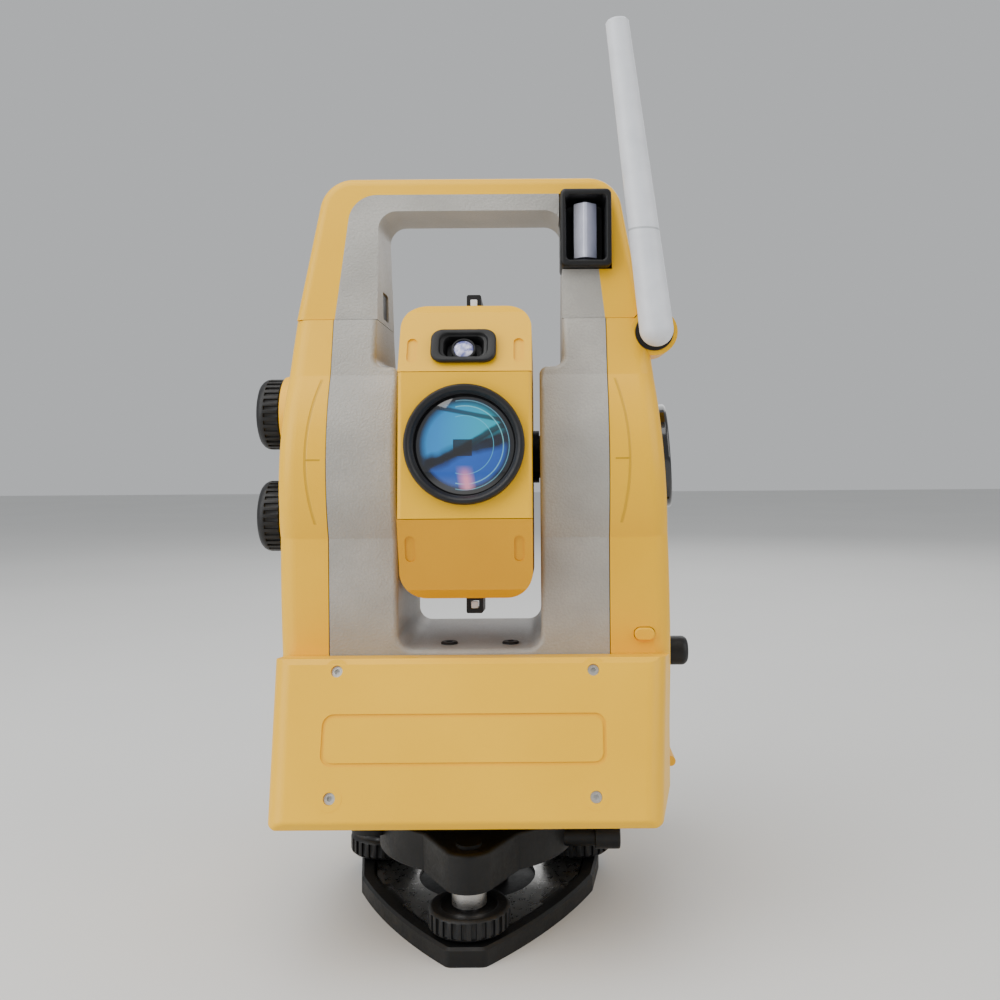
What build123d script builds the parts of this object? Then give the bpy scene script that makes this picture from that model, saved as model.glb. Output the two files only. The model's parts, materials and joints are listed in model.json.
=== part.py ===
"""Surveying total station on a levelling tribrach, in millimetres.

+Z is the vertical axis and the objective looks along -Y. The origin is the centre of the
tripod thread on the underside of the tribrach's base plate.
"""

import math
import os

from build123d import *

os.makedirs("parts", exist_ok=True)

# ---------------------------------------------------------------- driving dimensions
GAP = 0.3  # clearance between faces of different moving bodies
RUNNING = 0.05  # radial clearance of a shaft in its bore

TRUNNION_Z = 224.0  # height of the telescope's tilting axis
TILT = 5.0  # the telescope is stored looking this many degrees above level
SPLIT_Z = 292.0  # where the carrying handle meets the arms
BODY_BOTTOM = 66.0  # underside of the turning part
SEAM_X = 66.5  # half width of the yoke frame, where the side covers start
ARM_IN = 34.0  # half width of the gap between the arms
ARM_UP_IN = 45.5  # half width of the gap above the bearing shoulders
SHOULDER_Z = 268.0  # top of the bearing shoulders
FLOOR_Z = 133.0  # floor between the arms
WALL = 3.0  # wall of a moulded cover

PLATE_T = 8.5  # tribrach base plate
FOOT_R = 60.0  # circle of the three foot screws
FOOT_ANGLES = {"front": -90, "right": 30, "left": 150}
FOOT_BORE_R = 8.2
TRIBRACH_BOTTOM, TRIBRACH_TOP = 28.0, 46.0
LIFT = 2.5  # levelling travel each way

CIRCLE_PLANE = Plane(origin=(95.3, -4, TRUNNION_Z), z_dir=(1, -0.07, 0.06))
KNOB_Y = 5.0
KNOB_Z = {"vertical": TRUNNION_Z + 23, "horizontal": TRUNNION_Z - 30}
KNOB_R, KNOB_FACE_X = 18.4, -98.0
ANTENNA_PIVOT = (90.3, 285.0)  # X and Z of the antenna's pivot
DOOR_AXIS = (98.3, 71.5)  # X and Z of the battery door's hinge
DOOR_Y = (-24.0, 34.0)
DOOR_TOP = 146.0

BEARING_R = 17.0
POCKET_FLOOR = 42.0  # half width between the floors of the pockets inside the arms
TRUNNION = Axis((0, 0, TRUNNION_Z), (1, 0, 0))


def save(build, name, tilted=False):
    """Write one finished piece. A tilted piece belongs to the telescope and turns to its stored angle."""
    shape = build.part if isinstance(build, BuildPart) else build
    if tilted:
        shape = shape.rotate(TRUNNION, -TILT)
    shape.label = name
    export_step(shape, f"parts/{name}.step")


def beside(z, x, y=0.0):
    """Plane facing +X through a point, with local x along +Y and local y along +Z."""
    return Plane(origin=(x, y, z), x_dir=(0, 1, 0), z_dir=(1, 0, 0))


def facing(y, x=0.0, z=0.0):
    """Plane facing the objective's side through a point, with local x along +X and local y along +Z."""
    return Plane(origin=(x, y, z), x_dir=(1, 0, 0), z_dir=(0, -1, 0))


# ================================================================ tribrach
PLATE_CORNER = (8.5, -80.4)


def plate_outline(inset=0.0):
    """Rounded triangle with a blunt front corner."""
    with BuildSketch() as outline:
        with BuildLine():
            Line((-PLATE_CORNER[0], PLATE_CORNER[1]), PLATE_CORNER)
            ThreePointArc(PLATE_CORNER, (37, -45), (59.5, -4))
            Polyline((59.5, -4), (64.5, 26), (58, 44), (44, 50), (-44, 50), (-58, 44), (-64.5, 26), (-59.5, -4))
            ThreePointArc((-59.5, -4), (-37, -45), (-PLATE_CORNER[0], PLATE_CORNER[1]))
        make_face()
        fillet(outline.vertices(), 4)
        if inset:
            offset(amount=-inset, mode=Mode.REPLACE)
    return outline.sketch


with BuildPart() as base_plate:
    add(plate_outline())
    extrude(amount=PLATE_T)
    chamfer(base_plate.faces().sort_by(Axis.Z)[-1].outer_wire().edges(), 1.2)
    with BuildSketch(Plane.XY.offset(PLATE_T)):
        add(plate_outline(6.5))
    extrude(amount=-2.5, mode=Mode.SUBTRACT)
    with BuildSketch(Plane.XY.offset(PLATE_T - 2.5)):
        Circle(16)
    extrude(amount=2.5)
    Hole(6.9)
save(base_plate, "base_plate")

with BuildPart() as spring_plate:
    with BuildSketch(Plane.XY.offset(PLATE_T - 2.5)):
        add(plate_outline(8.0))
        Circle(30, mode=Mode.SUBTRACT)
        with PolarLocations(46, 3, start_angle=90):
            SlotOverall(26, 5, rotation=90, mode=Mode.SUBTRACT)
    extrude(amount=1.6)
save(spring_plate, "spring_plate")

SPINDLE_BOTTOM = PLATE_T - 2.5 + 1.6 + GAP
KNOB_BOTTOM, KNOB_TOP = 9.6, 19.6

for place, angle in FOOT_ANGLES.items():
    x, y = FOOT_R * math.cos(math.radians(angle)), FOOT_R * math.sin(math.radians(angle))
    with BuildPart() as foot_spindle:
        with BuildSketch(Plane(origin=(x, y, 0), x_dir=(1, 0, 0), z_dir=(0, -1, 0))):
            with BuildLine():
                Polyline((0, SPINDLE_BOTTOM), (3, SPINDLE_BOTTOM), (5.5, KNOB_BOTTOM), (5.5, KNOB_TOP + 0.1))
                Polyline((5.5, KNOB_TOP + 0.1), (8, KNOB_TOP + 0.1), (8, 34), (5, 35), (5, 41), (4, 42), (0, 42))
                Line((0, 42), (0, SPINDLE_BOTTOM))
            make_face()
        revolve(axis=Axis((x, y, 0), (0, 0, 1)))
    save(foot_spindle, f"foot_spindle_{place}")

    with BuildPart() as foot_knob:
        with BuildSketch(Plane.XY.offset(KNOB_BOTTOM)):
            with Locations((x, y)):
                Circle(19)
        extrude(amount=KNOB_TOP - KNOB_BOTTOM)
        chamfer(foot_knob.edges().filter_by(GeomType.CIRCLE), 1.4)
        with BuildSketch(Plane.XY.offset(KNOB_BOTTOM)):
            with Locations((x, y)):
                with PolarLocations(19.6, 28):
                    Circle(1.35)
        extrude(amount=KNOB_TOP - KNOB_BOTTOM, mode=Mode.SUBTRACT)
        with Locations((x, y, KNOB_TOP)):
            CounterBoreHole(5.5, 12, 1.5)
    save(foot_knob, f"foot_knob_{place}")

LOCK_Y, LOCK_Z = -18.0, 34.2
LEVEL_AT = (-52.0, -12.0)
with BuildPart() as tribrach_body:
    with BuildSketch(Plane.XY.offset(TRIBRACH_BOTTOM)) as triangle:
        with BuildSketch(mode=Mode.PRIVATE) as bosses:
            with PolarLocations(FOOT_R, 3, start_angle=-90):
                Circle(12)
        make_hull(bosses.sketch.edges())
        Circle(50)
    extrude(amount=TRIBRACH_TOP - TRIBRACH_BOTTOM)
    fillet(tribrach_body.faces().sort_by(Axis.Z)[-1].outer_wire().edges(), 2)
    with BuildSketch(Plane.XY.offset(TRIBRACH_TOP)):
        Circle(44)
    extrude(amount=-2, mode=Mode.SUBTRACT)
    with BuildSketch(Plane.XY.offset(TRIBRACH_BOTTOM)):
        Circle(30)
    extrude(amount=16, mode=Mode.SUBTRACT)
    with BuildSketch(Plane.XY.offset(TRIBRACH_BOTTOM)):
        with PolarLocations(FOOT_R, 3, start_angle=-90):
            Circle(FOOT_BORE_R)
    extrude(amount=10, mode=Mode.SUBTRACT)
    with BuildSketch(Plane.XY.offset(TRIBRACH_BOTTOM + 10)):
        with PolarLocations(FOOT_R, 3, start_angle=-90):
            Circle(5.3)
    extrude(amount=6.7, mode=Mode.SUBTRACT)
    with BuildSketch(Plane.XY.offset(TRIBRACH_TOP)):
        with PolarLocations(FOOT_R, 3, start_angle=-90):
            Circle(6)
    extrude(amount=1.6)
    with BuildSketch(beside(LOCK_Z, 38, LOCK_Y)):
        Circle(5.2)
    extrude(amount=22)
    with BuildSketch(beside(LOCK_Z, 60, LOCK_Y)):
        Circle(3)
    extrude(amount=11)
    with BuildSketch(Plane.XY.offset(36)):
        with Locations(LEVEL_AT):
            Circle(11)
    extrude(amount=4)
    with BuildSketch(Plane.XY.offset(40)):
        with Locations(LEVEL_AT):
            Circle(9.7)
    extrude(amount=20, mode=Mode.SUBTRACT)
save(tribrach_body, "tribrach_body")

with BuildPart() as lock_knob:
    with BuildSketch(beside(LOCK_Z, 60 + GAP, LOCK_Y)):
        Circle(6.6)
        Circle(3 + RUNNING, mode=Mode.SUBTRACT)
    extrude(amount=12.4)
    with BuildSketch(beside(LOCK_Z, 71.2, LOCK_Y)):
        Circle(5)
    extrude(amount=1.5)
    fillet(lock_knob.edges().filter_by(GeomType.CIRCLE).sort_by(Axis.X)[-1], 0.8)
save(lock_knob, "lock_knob")

with BuildPart() as circular_level_case:
    with BuildSketch(Plane.XY.offset(40)):
        with Locations(LEVEL_AT):
            Circle(9.5)
    extrude(amount=9)
    fillet(circular_level_case.edges().filter_by(GeomType.CIRCLE).sort_by(Axis.Z)[-1], 1)
    with BuildSketch(Plane.XY.offset(49)):
        with Locations(LEVEL_AT):
            Circle(7)
    extrude(amount=-6, mode=Mode.SUBTRACT)
save(circular_level_case, "circular_level_case")

with BuildPart() as circular_level_vial:
    with BuildSketch(Plane.XY.offset(43)):
        with Locations(LEVEL_AT):
            Circle(6.9)
    extrude(amount=5.2)
    fillet(circular_level_vial.edges().filter_by(GeomType.CIRCLE).sort_by(Axis.Z)[-1], 0.8)
save(circular_level_vial, "circular_level_vial")

AXIS_R = 12.0
with BuildPart() as base_flange:
    with BuildSketch(Plane.XZ):
        with BuildLine():
            Polyline((0, 44), (43.7, 44), (43.7, 50), (38, 54), (38, 70), (22, 70), (22, 82), (AXIS_R, 82))
            Polyline((AXIS_R, 82), (AXIS_R, 128), (0, 128), (0, 44))
        make_face()
    revolve(axis=Axis.Z)
save(base_flange, "base_flange")

with BuildPart() as horizontal_circle:
    with BuildSketch(Plane.XY.offset(82)):
        Circle(34)
        Circle(AXIS_R, mode=Mode.SUBTRACT)
    extrude(amount=2.5)
save(horizontal_circle, "horizontal_circle")

# ================================================================ yoke frame
with BuildPart() as yoke_frame:
    with BuildSketch(Plane.XZ.offset(-60)):
        with BuildLine():
            Polyline((0, 72), (SEAM_X, 72), (SEAM_X, SPLIT_Z), (ARM_UP_IN, SPLIT_Z), (ARM_UP_IN, SHOULDER_Z + 5))
            RadiusArc((ARM_UP_IN, SHOULDER_Z + 5), (ARM_UP_IN - 5, SHOULDER_Z), 5)
            Line((ARM_UP_IN - 5, SHOULDER_Z), (ARM_IN + 4, SHOULDER_Z))
            RadiusArc((ARM_IN + 4, SHOULDER_Z), (ARM_IN, SHOULDER_Z - 4), -4)
            Line((ARM_IN, SHOULDER_Z - 4), (ARM_IN, FLOOR_Z + 7))
            RadiusArc((ARM_IN, FLOOR_Z + 7), (ARM_IN - 7, FLOOR_Z), 7)
            Line((ARM_IN - 7, FLOOR_Z), (0, FLOOR_Z))
            mirror(about=Plane.YZ)
        make_face()
    extrude(amount=120)
    with BuildSketch(Plane.YZ.offset(-SEAM_X - 1)):
        with BuildLine():
            Polyline((0, 72), (-45.2, 72), (-45.2, 186))
            ThreePointArc((-45.2, 186), (-51, TRUNNION_Z), (-38.5, 264))
            Polyline((-38.5, 264), (-30, SPLIT_Z), (0, SPLIT_Z))
            mirror(about=Plane.YZ)
        make_face()
    extrude(amount=2 * SEAM_X + 2, mode=Mode.INTERSECT)
    inner_edges = yoke_frame.edges().filter_by(
        lambda e: abs(e.center().Y) > 28 and abs(e.center().X) < ARM_UP_IN + 0.5 and e.center().Z > FLOOR_Z - 2
    )
    fillet(inner_edges, 2.6)
    with BuildSketch(Plane.XY.offset(72)):
        Circle(41)
    extrude(amount=17, mode=Mode.SUBTRACT)
    with BuildSketch(Plane.XY.offset(89)):
        Circle(AXIS_R + RUNNING)
    extrude(amount=39.5, mode=Mode.SUBTRACT)
    for side in (-1, 1):
        with BuildSketch(beside(TRUNNION_Z, side * 50)):
            Circle(BEARING_R)
        extrude(amount=20, both=True, mode=Mode.SUBTRACT)
        with BuildSketch(beside(140, side * POCKET_FLOOR)):
            RectangleRounded(74, 124, 6)
        extrude(amount=side * 30, mode=Mode.SUBTRACT)
save(yoke_frame, "yoke_frame")

with BuildPart() as bottom_cover:
    with BuildSketch(Plane.XY.offset(BODY_BOTTOM)):
        RectangleRounded(2 * SEAM_X, 91, 6)
        Circle(39.5, mode=Mode.SUBTRACT)
    extrude(amount=72 - BODY_BOTTOM)
save(bottom_cover, "bottom_cover")

# ================================================================ side covers
COVER_X = SEAM_X + 0.4


RIGHT_WIDTHS = (95, 96, 94.5, 85.5)  # half widths at the foot, above it, at the swelling and at the split
LEFT_WIDTHS = (89, 90, 91, 85.5)


def cover_blank(widths, inset=0.0):
    """Solid outline of a side cover on the right, or of the room inside it."""
    foot, low_side, swell, top = (width - inset for width in widths)
    low = BODY_BOTTOM + inset
    with BuildPart() as blank:
        with BuildSketch(Plane.YZ.offset(COVER_X)):
            with BuildLine():
                Polyline((0, low), (-45.3 + inset, low), (-45.3 + inset, 186))
                ThreePointArc((-45.3 + inset, 186), (-50.5 + inset, TRUNNION_Z), (-38 + inset, 264))
                Polyline((-38 + inset, 264), (-29.5 + inset, SPLIT_Z - inset), (0, SPLIT_Z - inset))
                mirror(about=Plane.YZ)
            make_face()
        extrude(amount=50)
        with BuildSketch(Plane.XZ.offset(-60)):
            with BuildLine():
                Polyline((COVER_X, 60), (foot, 60), (low_side, 110))
                ThreePointArc((low_side, 110), (swell, 205), (top, 300))
                Polyline((top, 300), (COVER_X, 300), (COVER_X, 60))
            make_face()
        extrude(amount=120, mode=Mode.INTERSECT)
        outer = blank.faces().filter_by(lambda f: f.center().X > 80 and abs(f.center().Y) < 3)
        long_edges = outer.edges().filter_by(lambda e: abs(e.center().Y) > 20 and e.length > 20)
        fillet(long_edges, 9 - inset)
    return blank.part


ANTENNA_Y = -40.2
RELEASE_AT = (83, 140)
BOSS_FRONT = -30.8


def pivot_plane(y):
    """Plane across the antenna's pivot axis at y, facing forwards."""
    return facing(y, ANTENNA_PIVOT[0], ANTENNA_PIVOT[1])


def hinge_barrel(start, end, radius):
    """Cylinder on the battery door's hinge axis between two places along Y."""
    with BuildPart() as barrel:
        with BuildSketch(facing(start, *DOOR_AXIS)):
            Circle(radius)
        extrude(amount=start - end)
    return barrel.part


with BuildPart() as right_cover:
    add(cover_blank(RIGHT_WIDTHS))
    with BuildSketch(pivot_plane(BOSS_FRONT)):
        Circle(11.5)
    extrude(amount=-24)
    add(cover_blank(RIGHT_WIDTHS, WALL), mode=Mode.SUBTRACT)
    with BuildSketch(pivot_plane(-70)):
        Circle(9.7)
    extrude(amount=-39.2, mode=Mode.SUBTRACT)
    with BuildSketch(pivot_plane(BOSS_FRONT - 0.5)):
        Circle(2.5 + RUNNING)
    extrude(amount=-20, mode=Mode.SUBTRACT)
    with BuildSketch(Plane(CIRCLE_PLANE.origin, x_dir=(0, 1, 0), z_dir=CIRCLE_PLANE.z_dir)):
        Circle(25)
    extrude(amount=-9, mode=Mode.SUBTRACT)
    with BuildSketch(facing(-50, *RELEASE_AT)):
        RectangleRounded(9.6 + 2 * GAP, 6 + 2 * GAP, 3.1)
    extrude(amount=-12, mode=Mode.SUBTRACT)
    with BuildSketch(Plane.XZ.offset(7.7)):
        with Locations((96.5, 68.3)):
            Rectangle(7.4, 3.6)
    extrude(amount=-25.4)
    with BuildSketch(beside((DOOR_TOP + DOOR_AXIS[1]) / 2, 90, sum(DOOR_Y) / 2)):
        Rectangle(DOOR_Y[1] - DOOR_Y[0] + 2 * GAP, DOOR_TOP - DOOR_AXIS[1] + 2 * GAP)
    extrude(amount=20, mode=Mode.SUBTRACT)
    add(hinge_barrel(-7.7, 17.7, 2.5))
save(right_cover, "right_cover")

with BuildPart() as left_cover:
    add(mirror(cover_blank(LEFT_WIDTHS), about=Plane.YZ))
    for z in KNOB_Z.values():
        with BuildSketch(beside(z, -84, KNOB_Y)):
            Circle(23)
        extrude(amount=KNOB_FACE_X + 84, taper=14)
    add(mirror(cover_blank(LEFT_WIDTHS, WALL), about=Plane.YZ), mode=Mode.SUBTRACT)
    for z in KNOB_Z.values():
        with BuildSketch(beside(z, -100, KNOB_Y)):
            Circle(4 + RUNNING)
        extrude(amount=20, mode=Mode.SUBTRACT)
save(left_cover, "left_cover")

for name, z in KNOB_Z.items():
    with BuildPart() as jog_knob:
        with BuildSketch(beside(z, KNOB_FACE_X - GAP, KNOB_Y)):
            Circle(KNOB_R)
        extrude(amount=-12.4)
        rim = jog_knob.edges().filter_by(GeomType.CIRCLE).sort_by(Axis.X)
        fillet(rim[0], 3)
        with BuildSketch(beside(z, KNOB_FACE_X - GAP, KNOB_Y)):
            with PolarLocations(KNOB_R + 0.7, 30):
                Circle(1.3)
        extrude(amount=-9.5, mode=Mode.SUBTRACT)
        with BuildSketch(beside(z, KNOB_FACE_X - GAP, KNOB_Y)):
            Circle(4)
        extrude(amount=18)
        with BuildSketch(beside(z, KNOB_FACE_X + 16, KNOB_Y)):
            Circle(11)
        extrude(amount=2.5)
    save(jog_knob, f"jog_knob_{name}")

# ================================================================ lower covers
FRONT_ORIGIN = (0, -86.0, 102.0)
FRONT_PLANE = Plane(origin=FRONT_ORIGIN, x_dir=(1, 0, 0), z_dir=(0, -0.9397, 0.342))
LOWER_TOP = 134.6  # ridge of the front lower cover
REAR_DROP = 12.0  # the rear lower cover is this much lower
SCREW_X, SCREW_LOW = 57.0, -24.0


def screw_spots(drop):
    """Places of a lower cover's four screws on its sloped face."""
    high = 29.5 - drop / 0.94
    return [(-SCREW_X, high), (SCREW_X, high), (-SCREW_X, SCREW_LOW), (SCREW_X, SCREW_LOW)]


def lower_blank(drop=0.0, inset=0.0):
    """Solid outline of the front lower cover, or of the room inside it."""
    left, right, front = 88 - inset, 94.6 - inset, 83 - inset
    ridge = LOWER_TOP - drop - inset
    ridge_y = -72.5 - 0.36 * drop + inset
    with BuildPart() as blank:
        with BuildSketch(Plane.XY.offset(60)):
            with BuildLine():
                Polyline((0, -45.7), (right, -45.7), (front + 1, -102), (-front, -102), (-left, -45.7), (0, -45.7))
            make_face()
        extrude(amount=90)
        with BuildSketch(Plane.YZ.offset(-100)):
            with BuildLine():
                Polyline((-45.7, BODY_BOTTOM + inset), (-95 + inset, BODY_BOTTOM + inset), (-97.5 + inset, 70))
                Polyline((-97.5 + inset, 70), (ridge_y - 2.5, ridge - 2.1), (ridge_y, ridge))
                Polyline((ridge_y, ridge), (-45.7, ridge - 4), (-45.7, BODY_BOTTOM + inset))
            make_face()
        extrude(amount=200, mode=Mode.INTERSECT)
        uprights = blank.edges().filter_by(lambda e: abs(e.center().X) > 70 and e.center().Y < -75 and e.length > 40)
        fillet(uprights, 9 - inset)
        foot_edges = blank.edges().filter_by(lambda e: e.center().Z < 72 + inset and e.center().Y < -50)
        if not inset:
            fillet(foot_edges, 2.2)
    return blank.part


def lower_cover(drop=0.0):
    """Lower cover in its front place, with counterbored screw holes."""
    spots = screw_spots(drop)
    with BuildPart() as cover:
        add(lower_blank(drop))
        add(lower_blank(drop, WALL), mode=Mode.SUBTRACT)
        with BuildSketch(FRONT_PLANE):
            with Locations(*spots):
                Circle(5.4)
        extrude(amount=-9)
        with BuildSketch(FRONT_PLANE.offset(4)):
            with Locations(*spots):
                Circle(2.6)
        extrude(amount=-8.5, mode=Mode.SUBTRACT)
        with BuildSketch(FRONT_PLANE.offset(4)):
            with Locations(*spots):
                Circle(1.4)
        extrude(amount=-14, mode=Mode.SUBTRACT)
    return cover.part


def cover_screws(drop=0.0):
    """Four socket-head screws of a lower cover."""
    spots = screw_spots(drop)
    with BuildPart() as screws:
        with BuildSketch(FRONT_PLANE.offset(-4.5)):
            with Locations(*spots):
                Circle(2.5)
        extrude(amount=3)
        with BuildSketch(FRONT_PLANE.offset(-4.5)):
            with Locations(*spots):
                Circle(1.35)
        extrude(amount=-5)
        with BuildSketch(FRONT_PLANE.offset(-1.5)):
            with Locations(*spots):
                RegularPolygon(1.3, 6)
        extrude(amount=-2, mode=Mode.SUBTRACT)
    return screws.part


with BuildPart() as front_cover:
    add(lower_cover())
    with BuildSketch(FRONT_PLANE.offset(3)):
        RectangleRounded(124, 22, 5)
        RectangleRounded(121, 19, 4, mode=Mode.SUBTRACT)
    extrude(amount=-3.7, mode=Mode.SUBTRACT)
save(front_cover, "front_cover")

KEYS = {"power": (-62, 0), "up": (62, 7), "down": (62, -7)}
SCREEN = (96.0, 44.0)
SCREEN_LOW = -6.0  # middle of the screen, down the sloped face
with BuildPart() as rear_cover:
    add(mirror(lower_cover(REAR_DROP), about=Plane.XZ))
    rear_plane = Plane(origin=(0, 86, 102), x_dir=(-1, 0, 0), z_dir=(0, 0.9397, 0.342))
    with BuildSketch(rear_plane.offset(3)):
        with Locations((0, SCREEN_LOW)):
            RectangleRounded(SCREEN[0] + 2 * GAP, SCREEN[1] + 2 * GAP, 4)
    extrude(amount=-5.4, mode=Mode.SUBTRACT)
    with BuildSketch(rear_plane.offset(3)):
        for spot in KEYS.values():
            with Locations(spot):
                RectangleRounded(11 + 2 * GAP, 8 + 2 * GAP, 2)
    extrude(amount=-10, mode=Mode.SUBTRACT)
save(rear_cover, "rear_cover")

with BuildPart() as all_screws:
    add(cover_screws())
    add(mirror(cover_screws(REAR_DROP), about=Plane.XZ))
save(all_screws, "cover_screws")

with BuildPart() as display_window:
    with BuildSketch(rear_plane.offset(-2.4)):
        with Locations((0, SCREEN_LOW)):
            RectangleRounded(*SCREEN, 3.7)
    extrude(amount=2.2)
save(display_window, "display_window")

for name, spot in KEYS.items():
    with BuildPart() as key:
        with BuildSketch(rear_plane.offset(-3)):
            with Locations(spot):
                RectangleRounded(11, 8, 1.7)
        extrude(amount=4.4)
        fillet(key.faces().sort_by(Axis.Y)[-1].edges(), 0.6)
    save(key, f"key_{name}")

# ================================================================ carrying handle
HANDLE_TOP, BAR_SEAM, BAR_UNDER = 365.0, 356.0, 347.5


def handle_band(outer, inner):
    """Arch between two outlines. Each is (half width at the foot, half width above, top, corner radius)."""
    with BuildPart() as band:
        with BuildSketch(Plane.XZ.offset(-40)):
            for (foot, shoulder, top, radius), mode in ((outer, Mode.ADD), (inner, Mode.SUBTRACT)):
                with BuildSketch(mode=Mode.PRIVATE) as arch:
                    with BuildLine():
                        Polyline((-foot, SPLIT_Z), (-shoulder, top), (shoulder, top), (foot, SPLIT_Z), close=True)
                    make_face()
                    fillet(arch.vertices().group_by(Axis.Y)[-1], radius)
                add(arch.sketch, mode=mode)
        extrude(amount=80)
        with BuildSketch(Plane.YZ.offset(-100)):
            with BuildLine():
                Polyline((-28.5, SPLIT_Z + GAP), (-16.8, HANDLE_TOP + 1), (16.8, HANDLE_TOP + 1))
                Polyline((16.8, HANDLE_TOP + 1), (28.5, SPLIT_Z + GAP), (-28.5, SPLIT_Z + GAP))
            make_face()
        extrude(amount=200, mode=Mode.INTERSECT)
    return band.part


OUTER_ARCH = (86, 73.5, HANDLE_TOP, 17)
SEAM_ARCH = (SEAM_X, 59.5, BAR_SEAM, 14)
INNER_ARCH = (ARM_UP_IN, 46, BAR_UNDER, 9)
WINDOW = (57.3, 336.5)

with BuildPart() as handle_shell:
    add(handle_band(OUTER_ARCH, SEAM_ARCH))
    rim = handle_shell.edges().filter_by(
        lambda e: (abs(e.center().X) > 72 or e.center().Z > 360) and abs(e.center().Y) > 12 and e.center().Z > 300
    )
    fillet(rim, 5)
    with BuildSketch(pivot_plane(-60)):
        Circle(12)
    extrude(amount=-60, mode=Mode.SUBTRACT)
    with BuildSketch(facing(0, *WINDOW)):
        Rectangle(26, 39)
    extrude(amount=60, mode=Mode.SUBTRACT)
save(handle_shell, "handle_shell")

with BuildPart() as handle_frame:
    add(handle_band(SEAM_ARCH, INNER_ARCH))
    with BuildSketch(facing(0, *WINDOW)):
        Rectangle(26, 39)
    extrude(amount=60, mode=Mode.SUBTRACT)
    with BuildSketch(beside(302, -44)):
        RectangleRounded(18, 14, 2)
    extrude(amount=-6, mode=Mode.SUBTRACT)
save(handle_frame, "handle_frame")

with BuildPart() as handle_latch:
    with BuildSketch(beside(302, -46.6)):
        RectangleRounded(18 - 2 * GAP, 14 - 2 * GAP, 1.8)
    extrude(amount=-1.6)
    fillet(handle_latch.faces().sort_by(Axis.X)[-1].edges(), 0.5)
save(handle_latch, "handle_latch")

with BuildPart() as beam_housing:
    with BuildSketch(facing(-0.4, *WINDOW)):
        Rectangle(25.2, 38.2)
    extrude(amount=30.6)
    chamfer(beam_housing.faces().sort_by(Axis.Y)[0].edges(), 1)
    with BuildSketch(facing(-40, WINDOW[0], WINDOW[1] - 0.5)):
        RectangleRounded(20.5, 31, 1)
    extrude(amount=-22, mode=Mode.SUBTRACT)
save(beam_housing, "beam_housing")

with BuildPart() as beam_prism:
    with BuildSketch(Plane.XY.offset(WINDOW[1] - 14)):
        with BuildLine():
            Polyline((51.6, -18.2), (62.8, -18.2), (62.8, -24), (57.2, -27.5), (51.6, -24), close=True)
        make_face()
    extrude(amount=27)
save(beam_prism, "beam_prism")

# ================================================================ right side fittings
with BuildPart() as antenna:
    rod_plane = Plane(origin=(ANTENNA_PIVOT[0], ANTENNA_Y, ANTENNA_PIVOT[1]), x_dir=(0.9927, 0, 0.1205), z_dir=(0, -1, 0))
    with BuildSketch(rod_plane):
        with BuildLine():
            Polyline((0, -8.2), (0, 149.5), (-4.6, 149.5), (-5.6, 148.4), (-8.2, 0))
            RadiusArc((-8.2, 0), (0, -8.2), -8.2)
        make_face()
    revolve(axis=Axis((ANTENNA_PIVOT[0], ANTENNA_Y, ANTENNA_PIVOT[1]), (-0.1205, 0, 0.9927)))
    with BuildSketch(pivot_plane(ANTENNA_Y)):
        Circle(2.5)
    extrude(amount=-24)
save(antenna, "antenna")

with BuildPart() as antenna_washer:
    with BuildSketch(pivot_plane(-31.7)):
        Circle(9.3)
        Circle(2.5 + RUNNING, mode=Mode.SUBTRACT)
    extrude(amount=-0.8)
save(antenna_washer, "antenna_washer")

circle_frame = Plane(CIRCLE_PLANE.origin, x_dir=(0, 1, 0), z_dir=CIRCLE_PLANE.z_dir)
with BuildPart() as circle_cover:
    with BuildSketch(circle_frame.offset(-5)):
        Circle(24.7)
    extrude(amount=6)
    with BuildSketch(circle_frame.offset(1)):
        Circle(26.5)
    extrude(amount=3.6)
    fillet(circle_cover.edges().filter_by(GeomType.CIRCLE).sort_by(Axis.X)[-1], 1.6)
save(circle_cover, "circle_cover")

DOOR_SPAN, DOOR_RISE = DOOR_Y[1] - DOOR_Y[0], DOOR_TOP - DOOR_AXIS[1]
DOOR_MID = (sum(DOOR_Y) / 2, (DOOR_TOP + DOOR_AXIS[1]) / 2)
with BuildPart() as battery_door:
    with BuildSketch(beside(DOOR_MID[1], 91, DOOR_MID[0])):
        RectangleRounded(DOOR_SPAN, DOOR_RISE, 2)
    extrude(amount=6.5)
    fillet(battery_door.faces().sort_by(Axis.X)[-1].edges(), 1.2)
    for start, end in ((-20, -8), (18, 30)):
        add(hinge_barrel(start, end, 2.5))
    add(hinge_barrel(-8, 18, 2.9), mode=Mode.SUBTRACT)
    with BuildSketch(beside(122, 91, DOOR_MID[0])):
        Circle(5 + RUNNING)
    extrude(amount=7, mode=Mode.SUBTRACT)
save(battery_door, "battery_door")

with BuildPart() as door_knob:
    with BuildSketch(beside(122, 90, DOOR_MID[0])):
        Circle(5)
    extrude(amount=9)
    with BuildSketch(beside(122, 97.5 + GAP, DOOR_MID[0])):
        Circle(9.4)
    extrude(amount=2.6)
    with BuildSketch(beside(122, 100, DOOR_MID[0])):
        Circle(7.5)
    extrude(amount=10.6)
    fillet(door_knob.edges().filter_by(GeomType.CIRCLE).sort_by(Axis.X)[-1], 3.4)
    with BuildSketch(beside(122, 88.1, DOOR_MID[0])):
        Rectangle(9, 15)
    extrude(amount=2.6)
save(door_knob, "door_knob")

with BuildPart() as release_button:
    with BuildSketch(facing(-41.6, *RELEASE_AT)):
        RectangleRounded(9.6, 6, 2.9)
    extrude(amount=6)
    fillet(release_button.faces().sort_by(Axis.Y)[0].edges(), 0.8)
save(release_button, "release_button")

with BuildPart() as battery:
    with BuildSketch(Plane.XY.offset(75)):
        with Locations((79, DOOR_MID[0])):
            RectangleRounded(16, 50, 2)
    extrude(amount=66)
save(battery, "battery")

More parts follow.
